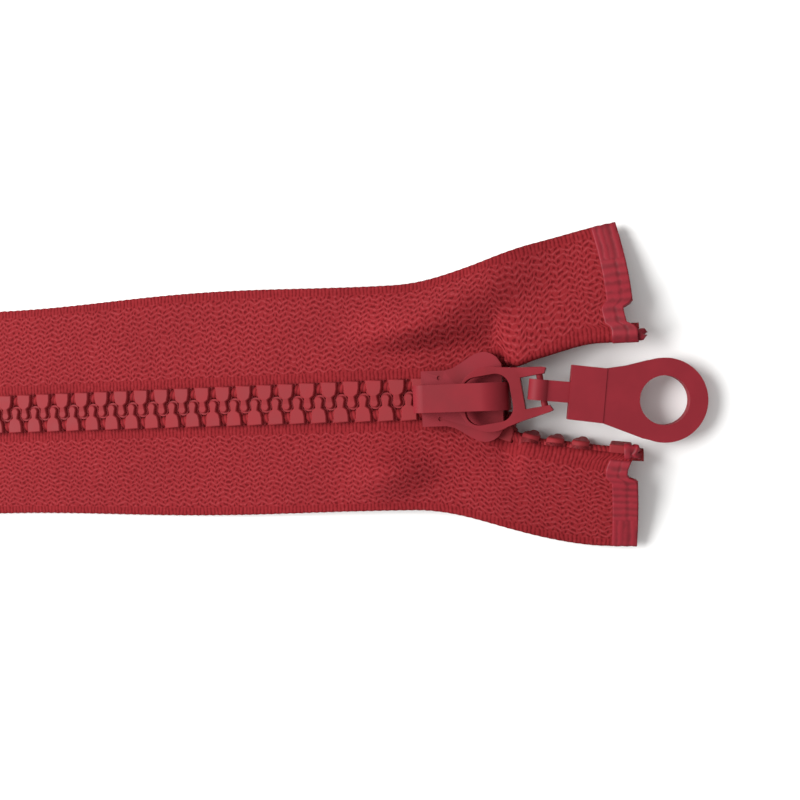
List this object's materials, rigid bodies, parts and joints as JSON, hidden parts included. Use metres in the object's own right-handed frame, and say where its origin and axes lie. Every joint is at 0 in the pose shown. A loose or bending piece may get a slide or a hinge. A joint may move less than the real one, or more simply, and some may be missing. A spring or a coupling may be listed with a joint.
{
  "type": "zipper",
  "caption": "Open-end zipper with chunky moulded teeth on two woven tapes, a locking slider with a ring puller, and a retainer box at the bottom.",
  "frame": {"origin": "centre of the retainer box's end face, at the bottom end of the zipper, in the middle of the chain's thickness there", "axes": "+X runs along the chain to the top end, +Y towards the left tape (the insertion pin's side), +Z out of the face that carries the slider's bridge and puller"},
  "size_m": [0.8086, 0.0439, 0.0089],
  "materials": {
    "woven_tape": "matte polyester weave",
    "moulded_resin": "satin moulded resin",
    "end_film": "glossy film pressed over the tape",
    "coated_slider": "satin baked paint",
    "spring_steel": "plain spring steel"
  },
  "bodies": {
    "bottom_end": {"retainer_box": "moulded_resin", "retainer_pin": "moulded_resin", "insertion_pin": "moulded_resin"},
    "left_stringer": {"left_tape": "woven_tape", "left_cord": "woven_tape", "left_teeth": "moulded_resin", "left_top_stop": "moulded_resin", "left_top_film": "end_film", "left_bottom_film": "end_film"},
    "right_stringer": {"right_tape": "woven_tape", "right_cord": "woven_tape", "right_teeth": "moulded_resin", "right_top_stop": "moulded_resin", "right_top_film": "end_film", "right_bottom_film": "end_film"},
    "slider": {"slider_body": "coated_slider", "slider_bridge": "coated_slider", "lock_spring": "spring_steel"},
    "pawl": {"lock_pawl": "spring_steel"},
    "link": {"pull_link": "coated_slider"},
    "tab": {"pull_tab": "coated_slider"}
  },
  "joints": [
    {"name": "slider_travel", "type": "slide", "parent": "bottom_end", "child": "slider", "axis": [1, 0, 0], "range_m": [-0.76, 0], "deforming": ["left_tape", "left_cord", "left_teeth", "left_top_stop", "left_top_film", "left_bottom_film", "right_tape", "right_cord", "right_teeth", "right_top_stop", "right_top_film", "right_bottom_film"]},
    {"name": "left_opening", "type": "hinge", "parent": "bottom_end", "child": "left_stringer", "pos_m": [0.02, 0, 0], "axis": [0, 0, 1], "range_deg": [0, 5]},
    {"name": "right_opening", "type": "hinge", "parent": "bottom_end", "child": "right_stringer", "pos_m": [0.02, 0, 0], "axis": [0, 0, 1], "range_deg": [-5, 0]},
    {"name": "pawl_lift", "type": "slide", "parent": "slider", "child": "pawl", "axis": [0, 0, 1], "range_m": [0, 0.0003], "stiffness_N_per_m": 200, "deforming": ["lock_spring"]},
    {"name": "link_swing", "type": "hinge", "parent": "slider", "child": "link", "pos_m": [0.77625, -0.00089, 0.00429], "axis": [-0.1392, 0.9903, 0], "range_deg": [-140, 3]},
    {"name": "tab_swing", "type": "hinge", "parent": "link", "child": "tab", "pos_m": [0.78713, 0.00064, 0.00371], "axis": [-0.1392, 0.9903, 0], "range_deg": [-60, 2]}
  ],
  "couplings": [
    {"joint": "left_opening", "follows": "slider_travel", "rad_per_m": -0.11478},
    {"joint": "right_opening", "follows": "slider_travel", "rad_per_m": 0.11478}
  ]
}
